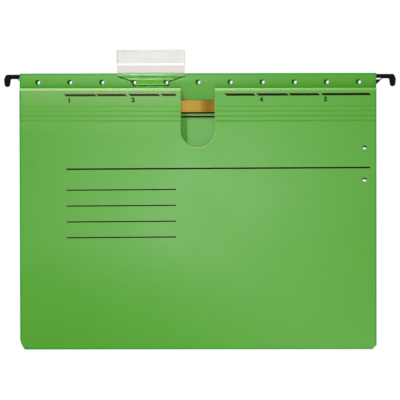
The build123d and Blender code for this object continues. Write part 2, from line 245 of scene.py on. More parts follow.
behind_reach = (0.0022, 0.00176)  # where the painted shade starts and is full, from the middle of a hole
fold_height = 0.003  # height of the fold over the rail
header_fold_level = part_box("back_cover")[1].z - fold_height
edge_facing = 0.5  # a face that looks this much aside lies on a cut edge,
foot_facing = 0.8  # and so does one that looks this much up or down, away from that fold
belly_start = (0.004, -0.0083)  # between these heights the header turns under,
belly_end = (-0.0165, -0.0187)  # and between these it is upright again, above the cover bar
belly_turn = 0.07  # slope between them

card_fibre, fibre_start, fibre_end = new_group("card_fibre", "Tone", "Fibres")
fibre_clouds = noise(card_fibre, fibre_start["Place"], spread=(16, 16, 16), detail=2.0)
fibre_flecks = noise(card_fibre, fibre_start["Place"], spread=(1400, 700, 1000), detail=4.0)
fibre_felt = noise(card_fibre, fibre_start["Place"], spread=(2600, 900, 1800), detail=3.0)
fibre_mean = card_fibre.nodes.new("ShaderNodeMix")
fibre_mean.inputs["Factor"].default_value = fleck_share
card_fibre.links.new(fibre_clouds, fibre_mean.inputs["A"])
card_fibre.links.new(fibre_flecks, fibre_mean.inputs["B"])
card_fibre.links.new(fibre_mean.outputs["Result"], fibre_end["Tone"])
card_fibre.links.new(fibre_felt, fibre_end["Fibres"])


def lay_over(tree, colour, mask, top_colour, shader):
    """Cover a colour with another where a mask is 1, and give the result to the shader."""
    mix = tree.nodes.new("ShaderNodeMix")
    mix.data_type = "RGBA"
    tree.links.new(mask, mix.inputs["Factor"])
    tree.links.new(colour, mix.inputs[6])
    mix.inputs[7].default_value = (*top_colour, 1.0)
    tree.links.new(mix.outputs[2], shader.inputs["Base Color"])
    return mix.outputs[2]


def step(tree, operation, *terms):
    """A step of sums on outputs and plain numbers."""
    node = tree.nodes.new("ShaderNodeMath")
    node.operation = operation
    for socket, term in zip(node.inputs, terms):
        if isinstance(term, (int, float)):
            socket.default_value = term
        else:
            tree.links.new(term, socket)
    return node.outputs["Value"]


def take_apart(tree, place):
    """The parts of a place along each axis."""
    apart = tree.nodes.new("ShaderNodeSeparateXYZ")
    tree.links.new(place, apart.inputs["Vector"])
    return apart.outputs


# Pale wear and a painted highlight along the top fold, and a painted sheen under it on the left
fold_wear_and_highlight, wear_start, wear_end = new_group("fold_wear_and_highlight", "Wear")
wear_apart = take_apart(fold_wear_and_highlight, wear_start["Place"])
wear = noise(fold_wear_and_highlight, wear_start["Place"], spread=(500, 900, 500))
for worn_edge in (worn_foot, worn_top):
    wear = step(fold_wear_and_highlight, "MULTIPLY", wear, between(fold_wear_and_highlight, wear_apart["Y"], *worn_edge))
wear = step(fold_wear_and_highlight, "MULTIPLY", wear, between(fold_wear_and_highlight, wear_apart["X"], *fold_highlight_fade))
wear = step(fold_wear_and_highlight, "MINIMUM", wear, 1.0)
wear = step(fold_wear_and_highlight, "MULTIPLY", wear, between(fold_wear_and_highlight, wear_apart["X"], *worn_end))
sheen = step(
    fold_wear_and_highlight, "MULTIPLY",
    between(fold_wear_and_highlight, wear_apart["Y"], *sheen_rise),
    between(fold_wear_and_highlight, wear_apart["Y"], *sheen_foot),
)
sheen = step(fold_wear_and_highlight, "MULTIPLY", sheen, between(fold_wear_and_highlight, wear_apart["X"], *sheen_fade))
fold_wear_and_highlight.links.new(step(fold_wear_and_highlight, "MAXIMUM", wear, sheen), wear_end["Wear"])


def sheet_place(tree, from_map=False):
    """Place on a card sheet as (X, Z), from the sheet's own map where the sheet can bend."""
    if from_map:
        return tree.nodes.new("ShaderNodeTexCoord").outputs["UV"]
    apart = take_apart(tree, piece_place(tree))
    flat = tree.nodes.new("ShaderNodeCombineXYZ")
    tree.links.new(apart["X"], flat.inputs["X"])
    tree.links.new(apart["Z"], flat.inputs["Y"])
    return flat.outputs["Vector"]


def card_finish(name, dark, light, rough, shine, from_map=False, folded=False):
    """Dyed card: soft clouds of dye, flecks and a felt of fibres, with a satin surface."""
    material, tree, shader = new_finish(name)
    place = sheet_place(tree, from_map)
    fibre = use_group(tree, card_fibre, place)
    colour = tint(tree, fibre["Tone"], shader, dark, light)
    # Folded card has the pale wear and painted highlight of the top fold
    if folded:
        lay_over(tree, colour, use_group(tree, fold_wear_and_highlight, place)["Wear"], wear_and_highlight_colour, shader)
    shader.inputs["Specular IOR Level"].default_value = shine
    vary(tree, fibre["Tone"], shader.inputs["Roughness"], rough - rough_spread, rough + rough_spread)
    emboss(tree, fibre["Fibres"], shader, fibre_depth)
    return material


def add_belly(material):
    """Shade the header's card as if it bellied over the rail, turning under a little towards the fastener."""
    tree = material.node_tree
    height = take_apart(tree, piece_place(tree))["Z"]

    def turned(top, foot):
        """Depth of a sheet that is upright above the top and has a slope of 1 below the foot."""
        inside = step(tree, "MINIMUM", step(tree, "MAXIMUM", height, foot), top)
        bent = step(tree, "POWER", step(tree, "SUBTRACT", top, inside), 2.0)
        straight = step(tree, "MAXIMUM", step(tree, "SUBTRACT", foot, height), 0.0)
        return step(tree, "MULTIPLY_ADD", bent, 0.5 / (top - foot), straight)

    depth = step(tree, "SUBTRACT", turned(*belly_start), turned(*belly_end))
    emboss(tree, step(tree, "MULTIPLY", depth, -belly_turn), tree.nodes["Bump"], depth=1.0)


def is_cut(face):
    """True for a face of the back cover that lies on a cut edge and not on the sheet or its folds."""
    over_rail = face.center.z > header_fold_level
    return abs(face.normal.x) > edge_facing or (abs(face.normal.z) > foot_facing and not over_rail)


def away_from(tree, aside, above):
    """How far a place is from a point, from its two distances to it."""
    squares = step(tree, "MULTIPLY_ADD", above, above, step(tree, "MULTIPLY", aside, aside))
    return step(tree, "SQRT", squares)


def dye(material, mask, colour):
    """Change the colour of a finished card where a mask is 1."""
    shader = material.node_tree.nodes["Principled BSDF"]
    lay_over(material.node_tree, shader.inputs["Base Color"].links[0].from_socket, mask, colour, shader)


def paint_inner_shade(material):
    """Paint shade inside the header, behind the side holes and above the cover's top fold, and the notch's shadow
    colour on the inner flap.
    """
    tree = material.node_tree
    shader = tree.nodes["Principled BSDF"]
    apart = take_apart(tree, piece_place(tree))
    middle_x, middle_z, half_gap = behind_holes
    aside = step(tree, "SUBTRACT", apart["X"], middle_x)
    above = step(tree, "ABSOLUTE", step(tree, "SUBTRACT", apart["Z"], middle_z))
    above = step(tree, "SUBTRACT", above, half_gap)
    behind = between(tree, away_from(tree, aside, above), *behind_reach)
    mask = step(tree, "MAXIMUM", between(tree, apart["Z"], *reversed(flap_top)), behind)
    for layer_side in inside_layer:
        mask = step(tree, "MULTIPLY", mask, between(tree, apart["Y"], *layer_side))
    dye(material, mask, painted_shade_colour)
    from_middle = step(tree, "ABSOLUTE", step(tree, "SUBTRACT", apart["X"], flap_middle))
    flap = between(tree, from_middle, *flap_sides)
    flap = step(tree, "MAXIMUM", flap, between(tree, apart["Z"], *flap_top))
    flap_part = step(tree, "MULTIPLY", flap, between(tree, apart["Z"], *flap_shine))
    front = between(tree, apart["Y"], *front_layer)
    covered_aside = between(tree, apart["X"], *covered_right)
    covered = step(tree, "MAXIMUM", covered_aside, between(tree, apart["X"], *covered_left))
    covered = step(tree, "MULTIPLY", covered, between(tree, apart["Z"], *covered_top))
    covered = step(tree, "MULTIPLY", covered, front)
    glazed = step(tree, "MULTIPLY_ADD", covered, -covered_dull, 1.0)
    flap_part = step(tree, "MULTIPLY", flap_part, glazed)
    header_part = between(tree, apart["X"], *header_shine)
    header_part = step(tree, "MULTIPLY", header_part, between(tree, apart["Z"], *header_fade))
    kept = step(tree, "SUBTRACT", step(tree, "MAXIMUM", flap_part, header_part), mask)
    tree.links.new(step(tree, "MAXIMUM", kept, 0.0), shader.inputs["Specular IOR Level"])
    fold_shade = step(tree, "SUBTRACT", between(tree, apart["Z"], *fold_shade_fade), flap)
    fold_shade = step(tree, "MULTIPLY", step(tree, "MAXIMUM", fold_shade, 0.0), front)
    # Painted shadow colour on the covered flap, whose edge lies on the notch's cast shadow
    dye(material, covered, covered_shadow_colour)
    dye(material, fold_shade, painted_shade_colour)


edge_inputs = ("Place", "Low", "High")
darker_edges, edges_start, edges_end = new_group("darker_edges", "Darker", inputs=edge_inputs)
edge_places = [take_apart(darker_edges, edges_start[name]) for name in edge_inputs]
nearest_edge = dark_edge_width
for axis in ("X", "Y"):
    here, low, high = [place[axis] for place in edge_places]
    for upper, lower in ((here, low), (high, here)):
        inwards = step(darker_edges, "SUBTRACT", upper, lower)
        nearest_edge = step(darker_edges, "MINIMUM", inwards, nearest_edge)
edge_darkening = between(darker_edges, nearest_edge, dark_edge_width, dark_edge_width / 2, most=dark_edge_strength)
darker_edges.links.new(edge_darkening, edges_end["Darker"])


def darken_edges(material, place, low, high):
    """Paint a darker green along a sheet's cut edges, from its lowest and highest (X, Z)."""
    darker_band = use_group(material.node_tree, darker_edges, place, Low=low, High=high)
    dye(material, darker_band["Darker"], dark_edge_colour)


green_card = card_finish("green_card", card_dark, card_light, card_rough, flap_shine[3])
green_core = card_finish("green_core", core_dark, core_light, core_rough, core_shine)
add_belly(green_card)
back_low, back_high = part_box("back_cover")
back_place = sheet_place(green_card.node_tree)
darken_edges(green_card, back_place, low=(back_low.x, back_low.z), high=(back_high.x, back_high.z))
paint_inner_shade(green_card)
dress("back_cover", green_card, green_core)
for card_face in nodes["back_cover"].data.polygons:
    card_face.material_index = int(is_cut(card_face))


# Filing fastener. A soft tinned steel strip whose prongs fold on a brass-lacquered cover bar, and
# two brass-lacquered sliders that lock the prongs. Soft light and dark bands of painted reflection
# lie across the bar and the sliders.
# The bands of painted reflection along the bar and the sliders
band_pitch = 0.046
band_middle = 0.0086
band_distortion = 0.6
band_dark = 0.3  # share of the wave over which a band is darker

prong_tin = strip_metal(
    "prong_tin",
    dark=(0.48, 0.47, 0.45),
    light=(0.66, 0.65, 0.62),
    least_rough=0.22,
    most_rough=0.4,
)
dress("fastener_strip", prong_tin)

reflection_bands, bands_start, bands_end = new_group("reflection_bands", "Bands")
band_wave = reflection_bands.nodes.new("ShaderNodeTexWave")
band_wave.inputs["Scale"].default_value = tau / 20 / band_pitch  # a wave texture repeats every tau / 20
band_wave.inputs["Phase Offset"].default_value = -tau * band_middle / band_pitch
band_wave.inputs["Distortion"].default_value = band_distortion
reflection_bands.links.new(bands_start["Place"], band_wave.inputs["Vector"])
reflection_bands.links.new(band_wave.outputs["Fac"], bands_end["Bands"])


def lacquered_brass(name, dark, light):
    """Brass-coloured lacquer over rolled strip, with bands of painted reflection across its length."""
    material, tree, shader = new_finish(name)
    place = piece_place(tree)
    grain = use_group(tree, rolled_grain, place)
    bands = use_group(tree, reflection_bands, place)
    tint(tree, bands["Bands"], shader, dark, light, low=0.0, high=band_dark)
    vary(tree, grain["Lines"], shader.inputs["Roughness"], least=0.44, most=0.56)
    emboss(tree, grain["Lines"], shader, grain_depth)
    shader.inputs["Metallic"].default_value = 1.0
    return material


bar_brass = lacquered_brass("bar_brass", dark=(0.132, 0.076, 0.009), light=(0.262, 0.163, 0.028))
slider_brass = lacquered_brass("slider_brass", dark=(0.19, 0.112, 0.015), light=(0.27, 0.168, 0.030))
dress("cover_bar", bar_brass)
dress("left_slider", slider_brass)
dress("right_slider", slider_brass)


# Front cover. A second sheet of the same card, glued under the header and free at its foot. It bends
# at the top fold and at four pressed creases. Here it is parted in the middle of each strip between
# them, where it never bends.
cover_rough = 0.31
cover_shine = 0.19
notch_bottom = -0.0606
# Painted highlight on the lit part of the thumb notch's rim
rim_highlight_width = 0.0012
rim_highlight_strength = 0.3
lit_aside, lit_down = 0.5, -0.87  # direction from the notch's middle to the part of its rim that the key lamp lights
lit_reach = (0.4, 0.8)  # where that starts to show and is full, as shares of the notch's radius
twist_start = -0.145  # below this height the panel twists about an upright line,
twist_middle = 0.07  # so that its left corner hangs back a little and its right corner forward
twist_rate = 6.5
left_clip_width = 0.0042
left_clip_height = 0.0093
left_clip_bulge = 0.0007
clip_steps = 12
right_clip = 0.0038
bend_half = 0.0011  # reach of a bend each side of its crease
bend_lead = 0.0001  # flat card between the spine and the bend of the top fold
panel_lead = 0.0005  # flat card between the last bend and the outline of the panel
same_place = 1e-6  # points closer than this are one
crease_half = 0.0008  # half the width of a pressed crease
crease_depths = {"crease_1": 0.00010, "crease_2": 0.00012, "crease_3": 0.00022, "crease_4": 0.00022}
edge_round = 0.0002
no_edge = 1.0  # the front goes on into the spine at its top, so its nearest upper edge is far off
bend_rows = 22
arc_steps = 48

cover_low, cover_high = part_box("front_cover")
card_thick = cover_high.y - cover_low.y
spine_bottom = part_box("cover_top_strip")[1].z
hinges = {joint["name"]: Vector(joint["pos_m"]) for joint in frame["joints"] if joint["type"] == "hinge"}
strip_places = sorted({round(vertex.co.x, 5) for vertex in nodes["cover_strip_1"].data.vertices})
cover_left, notch_left, notch_right, cover_right = strip_places
halves = [(cover_left, notch_left), (notch_right, cover_right)]

notch_middle = (notch_left + notch_right) / 2
notch_radius = (notch_right - notch_left) / 2


def light_notch_rim(material):
    """Paint a paler highlight along the round end of the thumb notch, where its rim faces the key lamp."""
    tree = material.node_tree
    apart = take_apart(tree, sheet_place(tree, from_map=True))
    aside = step(tree, "SUBTRACT", apart["X"], notch_middle)
    below = step(tree, "SUBTRACT", apart["Y"], notch_bottom + notch_radius)
    outside = step(tree, "SUBTRACT", away_from(tree, aside, below), notch_radius)
    rim = between(tree, outside, rim_highlight_width, rim_highlight_width / 3, most=rim_highlight_strength)
    toward_lamp = step(tree, "MULTIPLY_ADD", aside, lit_aside, step(tree, "MULTIPLY", below, lit_down))
    lit_share = between(tree, toward_lamp, *[notch_radius * share for share in lit_reach])
    dye(material, step(tree, "MULTIPLY", rim, lit_share), wear_and_highlight_colour)


def twist_foot(material):
    """Shade the foot of the panel as if it twisted a little, as loose card does."""
    tree = material.node_tree
    apart = take_apart(tree, sheet_place(tree, from_map=True))
    drop = step(tree, "MAXIMUM", step(tree, "SUBTRACT", twist_start, apart["Y"]), 0.0)
    aside = step(tree, "MULTIPLY", step(tree, "SUBTRACT", apart["X"], twist_middle), twist_rate / 2)
    height = step(tree, "MULTIPLY", step(tree, "MULTIPLY", drop, drop), aside)
    emboss(tree, height, tree.nodes["Bump"], depth=1.0)


cover_dye = (card_dark, card_light, cover_rough, cover_shine)
cover_card = card_finish("cover_card", *cover_dye, from_map=True, folded=True)
light_notch_rim(cover_card)
twist_foot(cover_card)
cover_place = sheet_place(cover_card.node_tree, from_map=True)
darken_edges(cover_card, cover_place, low=(cover_left, cover_low.z), high=(cover_right, no_edge))
cover_core = card_finish("cover_core", core_dark, core_light, core_rough, core_shine, from_map=True)
spine_card = card_finish("spine_card", *cover_dye, folded=True)
dress("cover_spine", spine_card, green_core)
for card_face in nodes["cover_spine"].data.polygons:
    card_face.material_index = int(abs(card_face.normal.x) > edge_facing)


def crease_dip(height):
    """How far the pressed creases push the card inwards at a height."""
    dip = 0.0
    for name, depth in crease_depths.items():
        reach = abs(height - hinges[name].z) / crease_half
        if reach < 1:
            dip += depth * (1 + cos(pi * reach)) / 2
    return dip


def bend_levels(top, bottom, bend_top, bend_bottom):
    """Heights of the rows of a strip of card, close together where it bends."""
    pitch = (bend_top - bend_bottom) / bend_rows
    rows = [bend_top - pitch * k for k in range(bend_rows + 1)]
    return [level for level in [top] + rows + [bottom] if bottom <= level <= top]


def add_rows(sheet, levels):
    """Add both halves of a strip of card, left and right of the thumb notch, to a flat sheet."""
    for left, right in halves:
        rows = [[sheet.verts.new((x, 0, level)) for x in (left, right)] for level in levels]
        for upper, lower in zip(rows, rows[1:]):
            sheet.faces.new((upper[0], lower[0], lower[1], upper[1]))


def arc_points(middle, radius, start, end, steps):
    """Points (X, Z) along an arc, with its angles in radians."""
    angles = [start + (end - start) * k / steps for k in range(steps + 1)]
    return [(middle[0] + radius * cos(a), middle[1] + radius * sin(a)) for a in angles]


def bulged(start, end, bulge, steps):
    """Points (X, Z) from start to end along a shallow curve that stands out to its right by bulge."""
    run, rise = end[0] - start[0], end[1] - start[1]
    length = (run**2 + rise**2) ** 0.5
    points = []
    for k in range(steps + 1):
        share = k / steps
        out = 4 * bulge * share * (1 - share) / length
        points.append((start[0] + run * share + out * rise, start[1] + rise * share - out * run))
    return points


def fill_outlines(sheet, outlines):
    """Fill a flat outline in a sheet, with the later outlines as holes in the first."""
    edges = []
    for outline in outlines:
        ring = [sheet.verts.new((x, 0, z)) for x, z in outline]
        edges += [sheet.edges.new((a, b)) for a, b in zip(ring, ring[1:] + ring[:1])]
    bmesh.ops.triangle_fill(sheet, use_beauty=True, edges=edges, normal=(0, -1, 0))


def new_piece(name, drawn, *finishes):
    """A new piece from the mesh that was drawn for it, with its finishes."""
    mesh = bpy.data.meshes.new(name)
    drawn.to_mesh(mesh)
    drawn.free()
    for material in finishes:
        mesh.materials.append(material)
    piece = bpy.data.objects.new(name, mesh)
    bpy.context.scene.collection.objects.link(piece)
    return piece


def make_card(name, sheet, seams):
    """Turn a flat sheet into card of real thickness, with rounded pale edges except at its seams."""
    bmesh.ops.remove_doubles(sheet, verts=sheet.verts[:], dist=same_place)
    for face in sheet.faces:
        face.normal_update()
        if face.normal.y > 0:
            face.normal_flip()
    rim = [edge for edge in sheet.edges if edge.is_boundary]
    back = bmesh.ops.duplicate(sheet, geom=sheet.faces[:])
    twin = back["vert_map"]
    for face in [part for part in back["geom"] if isinstance(part, bmesh.types.BMFace)]:
        face.normal_flip()
    for vertex in [part for part in back["geom"] if isinstance(part, bmesh.types.BMVert)]:
        vertex.co.y = card_thick
    cut_edges = []
    for edge in rim:
        first, second = edge.verts
        wall = sheet.faces.new((first, second, twin[second], twin[first]))
        wall.material_index = 1
        at_seam = any(all(abs(v.co.z - seam) < same_place for v in edge.verts) for seam in seams)
        if not at_seam:
            cut_edges += [edge, sheet.edges.get((twin[first], twin[second]))]
    bmesh.ops.recalc_face_normals(sheet, faces=sheet.faces[:])
    rounding = {"offset": edge_round, "segments": 2, "profile": 0.5, "affect": "EDGES", "material": 1}
    bmesh.ops.bevel(sheet, geom=cut_edges, **rounding)
    flat_map = sheet.loops.layers.uv.new("sheet")
    for face in sheet.faces:
        face.smooth = True
        for loop in face.loops:
            loop[flat_map].uv = (loop.vert.co.x, loop.vert.co.z)
    for edge in sheet.edges:
        edge.smooth = len({face.material_index for face in edge.link_faces}) < 2
    for vertex in sheet.verts:
        vertex.co.y += cover_low.y + crease_dip(vertex.co.z)
    piece = new_piece(name, sheet, cover_card, cover_core)
    return piece


creases = list(crease_depths)
fold_levels = [hinges[name].z for name in ["top_fold"] + creases]
seam_levels = [(upper + lower) / 2 for upper, lower in zip(fold_levels, fold_levels[1:])]

# Top of the front: from the end of the spine to the middle of the top strip
top_sheet = bmesh.new()
top_bend_end = fold_levels[0] - 2 * bend_half
add_rows(top_sheet, bend_levels(spine_bottom, seam_levels[0], spine_bottom - bend_lead, top_bend_end))
cover_top = make_card("cover_top", top_sheet, [spine_bottom, seam_levels[0]])
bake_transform(cover_top)
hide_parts("cover_top_strip")

# Creased band: each part runs from the middle of one strip to the middle of the next
for number, name in enumerate(creases[:-1]):
    crease_sheet = bmesh.new()
    bend_top, bend_bottom = hinges[name].z + bend_half, hinges[name].z - bend_half
    add_rows(crease_sheet, bend_levels(seam_levels[number], seam_levels[number + 1], bend_top, bend_bottom))
    crease_part = make_card(f"cover_{name}", crease_sheet, seam_levels[number:number + 2])
    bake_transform(crease_part)
    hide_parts(f"cover_strip_{number + 1}")

# Front panel: the last crease, the round end of the thumb notch, the side holes and the clipped corners
panel_sheet = bmesh.new()
bend_top, bend_bottom = fold_levels[-1] + bend_half, fold_levels[-1] - bend_half
panel_top = bend_bottom - panel_lead
add_rows(panel_sheet, bend_levels(seam_levels[-1], panel_top, bend_top, bend_bottom))
notch_arc = arc_points((notch_middle, notch_bottom + notch_radius), notch_radius, pi, tau, arc_steps)
clip_start = (cover_left + left_clip_width, cover_low.z)
clip_end = (cover_left, cover_low.z + left_clip_height)
panel_outline = [(cover_left, panel_top), (notch_left, panel_top)] + notch_arc
panel_outline += [(notch_right, panel_top), (cover_right, panel_top)]
panel_outline += [(cover_right, cover_low.z + right_clip), (cover_right - right_clip, cover_low.z)]
panel_outline += bulged(clip_start, clip_end, -left_clip_bulge, clip_steps)
side_holes = next(mount for mount in frame["record"]["mounts"] if mount["name"] == "side_tab_holes")
hole_radius = side_holes["dims"]["hole_r_mm"] / 1000
hole_gap = side_holes["dims"]["spacing_y_mm"] / 1000
hole_outlines = []
for offset in (hole_gap / 2, -hole_gap / 2):
    hole_middle = (side_holes["pos_m"][0], side_holes["pos_m"][2] + offset)
    hole_outlines.append(arc_points(hole_middle, hole_radius, 0, tau, arc_steps)[:-1])
fill_outlines(panel_sheet, [panel_outline] + hole_outlines)
cover_panel = make_card("cover_panel", panel_sheet, [seam_levels[-1]])
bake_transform(cover_panel)
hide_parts("front_cover")


# Printing. Dark brown ink on the card: a scale of slanted bars with numbers under the top fold, a
# long rule and four short writing lines on the front, and two rules on the inner flap.
ink_height = 0.00002
ink_sunk = 0.00001
scale_level = -0.0142
scale_bar = 0.0021
scale_slant = 0.0023
scale_rise = 0.0022  # rise to the right for each metre along it
scale_left = [(-0.1196, -0.0922), (-0.0909, -0.0654), (-0.0624, -0.0358), (-0.0338, -0.0211)]
scale_right = [(0.0227, 0.0485), (0.0509, 0.0783), (0.0798, 0.1059), (0.1083, 0.1508)]
number_level = -0.0188
number_height = 0.0044
number_bold = 0.0003
numbers = {"2": -0.0591, "4": 0.0547, "5": 0.1115}
digit_share = 0.7  # a digit's height as a share of its letter size
digit_steps = 4
number_one = -0.1160  # the numeral 1 has its own outline, in X and in shares of its height
one_shape = [(0.0004, 0.5), (-0.0009, 0.26), (-0.0009, 0.02), (-0.0004, 0.14)]
one_shape += [(-0.0004, -0.5), (0.0008, -0.5), (0.0008, 0.5)]
rule_left, rule_right = -0.1184, 0.1511
rule_level = -0.08005
rule_rise = 0.0011  # the rules are printed a little out of square
rule_width = 0.0014
line_right = -0.0212
line_levels = [-0.0987, -0.1128, -0.1269, -0.1409]
line_rise = 0.00056
line_width = 0.00107
flap_rules = [(-0.0292, -0.0310), (-0.0329, -0.0345)]
flap_margin = 0.008
flap_left, flap_right = -0.09675, 0.09325
flap_front = -0.00155
ink_dark = (0.010, 0.007, 0.003)
ink_light = (0.018, 0.013, 0.007)
ink_shine = 0.05
ink_sheen_colour = (0.060, 0.038, 0.026)  # painted sheen on the left of the scale, with the card's painted sheen under the fold
ink_sheen_left = (0.02, -0.02)
ink_sheen_top = (-0.022, -0.020)

ink, ink_tree, ink_shader = new_finish("ink")
ink_place = sheet_place(ink_tree)
ink_fibre = use_group(ink_tree, card_fibre, ink_place)
ink_colour = tint(ink_tree, ink_fibre["Tone"], ink_shader, ink_dark, ink_light)
ink_apart = take_apart(ink_tree, ink_place)
ink_sheen = step(
    ink_tree, "MULTIPLY",
    between(ink_tree, ink_apart["X"], *ink_sheen_left, ease="LINEAR"),
    between(ink_tree, ink_apart["Y"], *ink_sheen_top, ease="LINEAR"),
)
lay_over(ink_tree, ink_colour, ink_sheen, ink_sheen_colour, ink_shader)
ink_shader.inputs["Specular IOR Level"].default_value = ink_shine
vary(ink_tree, ink_fibre["Tone"], ink_shader.inputs["Roughness"], least=0.42, most=0.55)


def add_ink(print_mesh, corners, card_front):
    """Add a thin film of ink with the given corners (X, Z) on a face of card."""
    film = []
    for depth in (card_front - ink_height, card_front + ink_sunk):
        film.append([print_mesh.verts.new((x, depth, z)) for x, z in corners])
    print_mesh.faces.new(film[0])
    print_mesh.faces.new(film[1][::-1])
    for k in range(len(corners)):
        after = (k + 1) % len(corners)
        print_mesh.faces.new((film[0][k], film[1][k], film[1][after], film[0][after]))


def lay_ink(name, print_mesh, body):
    """Make a piece of printing from its films of ink, riding on a body."""
    bmesh.ops.recalc_face_normals(print_mesh, faces=print_mesh.faces[:])
    piece = new_piece(name, print_mesh, ink)
    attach(piece, body)


def level_rule(left, right, middle, width, rise=0.0):
    """Corners of a printed rule, with its right end higher by rise."""
    top, bottom = middle + width / 2, middle - width / 2
    return [(left, top), (left, bottom), (right, bottom + rise), (right, top + rise)]


scale_print = bmesh.new()
scale_top, scale_bottom = scale_level + scale_bar / 2, scale_level - scale_bar / 2
for left, right in scale_left + scale_right:
    lift_left, lift_right = scale_rise * left, scale_rise * right
    slant = scale_slant / 2
    end_slant = 0 if right == scale_left[-1][1] else slant
    ends = [(left - slant, scale_top + lift_left), (left + slant, scale_bottom + lift_left)]
    ends += [(right + end_slant, scale_bottom + lift_right), (right - end_slant, scale_top + lift_right)]
    add_ink(scale_print, ends, cover_low.y)
one_level = number_level + scale_rise * number_one
one_outline = [(number_one + x, one_level + z * number_height) for x, z in one_shape]
add_ink(scale_print, one_outline, cover_low.y)
lay_ink("printed_scale", scale_print, "top_strip")

panel_print = bmesh.new()
add_ink(panel_print, level_rule(rule_left, rule_right, rule_level, rule_width, rule_rise), cover_low.y)
for level in line_levels:
    add_ink(panel_print, level_rule(rule_left, line_right, level, line_width, line_rise), cover_low.y)
lay_ink("printed_lines", panel_print, "front_panel")

flap_print = bmesh.new()
for top, bottom in flap_rules:
    rule_ends = (flap_left + flap_margin, flap_right - flap_margin)
    add_ink(flap_print, level_rule(*rule_ends, (top + bottom) / 2, top - bottom), flap_front)
lay_ink("printed_flap_rules", flap_print, "folder")

for digit, place in numbers.items():
    letter = bpy.data.curves.new(f"number_{digit}", "FONT")
    letter.body = digit
    letter.align_x = "CENTER"
    letter.align_y = "CENTER"
    letter.size = (number_height - 2 * number_bold) / digit_share
    letter.offset = number_bold
    letter.extrude = ink_height
    letter.resolution_u = digit_steps
    stand = bpy.data.objects.new(f"number_curve_{digit}", letter)
    bpy.context.scene.collection.objects.link(stand)
    bpy.context.view_layer.update()
    cast = stand.evaluated_get(bpy.context.evaluated_depsgraph_get())
    shape = bpy.data.meshes.new_from_object(cast)
    bpy.data.objects.remove(stand)
    shape.materials.clear()
    shape.materials.append(ink)
    number = bpy.data.objects.new(f"printed_{digit}", shape)
    number.location = (place, cover_low.y, number_level + scale_rise * place)
    number.rotation_euler = (radians(90), 0, 0)
    bpy.context.scene.collection.objects.link(number)
    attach(number, "top_strip")


# Index tab. A clear moulding with a sleeve above the header, a bead along the sleeve's foot and two
# pegs in the header's holes. Its plate below the bead is tinted as painted shade, painted shadow lines
# run along the tongue's edges, and a band of painted shade crosses the tongue below the header's top.
# It is faintly smoky at its ends, where the plastic is seen through its own edge, and its narrow edges
# are frosted where it was cut from the mould.
# Tints seen through the tab, by height: painted shadow along the tongue, painted shade on the plate
tongue_shadow_tint = (0.07, 0.20, 0.05)
tongue_clear = (0.68, 0.90, 0.44)
tongue_shade = (0.42, 0.82, 0.32)
foot_clear = (1.0, 1.0, 0.99)
plate_foot_shadow = (0.62, 0.57, 0.54)
plate_shade = (0.80, 0.73, 0.69)
plate_shade_top = (0.72, 0.69, 0.67)
bead_clear = (1.0, 1.0, 1.0)
sleeve_clear = (0.97, 0.965, 0.96)
sleeve_edge = (0.86, 0.855, 0.865)
tab_tints = [(-0.0080, tongue_shadow_tint), (-0.0060, tongue_shadow_tint), (-0.0055, tongue_clear), (0.0010, tongue_clear)]
tab_tints += [(0.0013, tongue_shade), (0.0025, tongue_shade), (0.0028, foot_clear), (0.0046, foot_clear)]
tab_tints += [(0.0051, plate_foot_shadow), (0.0064, plate_shade), (0.0102, plate_shade), (0.0113, plate_shade_top)]
tab_tints += [(0.0119, bead_clear), (0.0137, bead_clear), (0.0141, sleeve_clear), (0.0246, sleeve_clear)]
tab_tints += [(0.0251, sleeve_edge), (0.0270, sleeve_edge)]
tab_end_tint = (0.80, 0.79, 0.785)
tab_end_width = 0.0009
side_facing = 0.3  # a face that looks less than this to the front or back is a narrow edge
plate_level = 0.0052  # the header's top edge, above which the tab stands free
tongue_half = 0.01645
tongue_bottom = -0.0066
slant_top = 0.0017
slant_bottom = -0.0028
# Height and half sizes of each rib
ribs = [(0.0037, 0.0298, 0.0007), (-0.0002, 0.0205, 0.0006), (-0.0049, 0.0140, 0.0003)]
rib_front = -0.00219
rib_rise = 0.00015
rib_steps = 10
edge_shadow_reach = 0.0015
peg_radius = 0.00096
peg_soft = 0.0002
peg_clear = (1.0, 1.0, 1.0)
tab_bend = 1.18  # how much the thin moulding bends light
tab_pass = (0.95, 0.95, 0.945)  # how much of a lamp's light each surface lets through
frost_bend = 1.3
frost_pass = (0.90, 0.90, 0.895)
frost_clear = 0.8  # share of the light that goes straight through frosted plastic
tab_low, tab_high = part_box("index_tab")
tab_middle = (tab_low.x + tab_high.x) / 2
tab_half = (tab_high.x - tab_low.x) / 2

tab_plastic, tab_tree, tab_shader = new_finish("tab_plastic")
tab_place = piece_place(tab_tree)
tab_grain = use_group(tab_tree, mould_grain, tab_place)
tab_apart = take_apart(tab_tree, tab_place)
tab_up = tab_apart["Z"]
tab_aside = step(tab_tree, "ABSOLUTE", step(tab_tree, "SUBTRACT", tab_apart["X"], tab_middle))
tints_low, tints_high = tab_tints[0][0], tab_tints[-1][0]
tab_ramp = tab_tree.nodes.new("ShaderNodeValToRGB")
tab_stops = tab_ramp.color_ramp.elements
while len(tab_stops) < len(tab_tints):
    tab_stops.new(1.0)
for stop, (level, colour) in zip(tab_stops, tab_tints):
    stop.position = (level - tints_low) / (tints_high - tints_low)
    stop.color = (*colour, 1.0)
tab_share = between(tab_tree, tab_up, tints_low, tints_high, ease="LINEAR")
tab_tree.links.new(tab_share, tab_ramp.inputs["Fac"])
tab_end = between(tab_tree, tab_aside, tab_half - tab_end_width, tab_half - tab_end_width / 2)
tab_colour = lay_over(tab_tree, tab_ramp.outputs["Color"], tab_end, tab_end_tint, tab_shader)

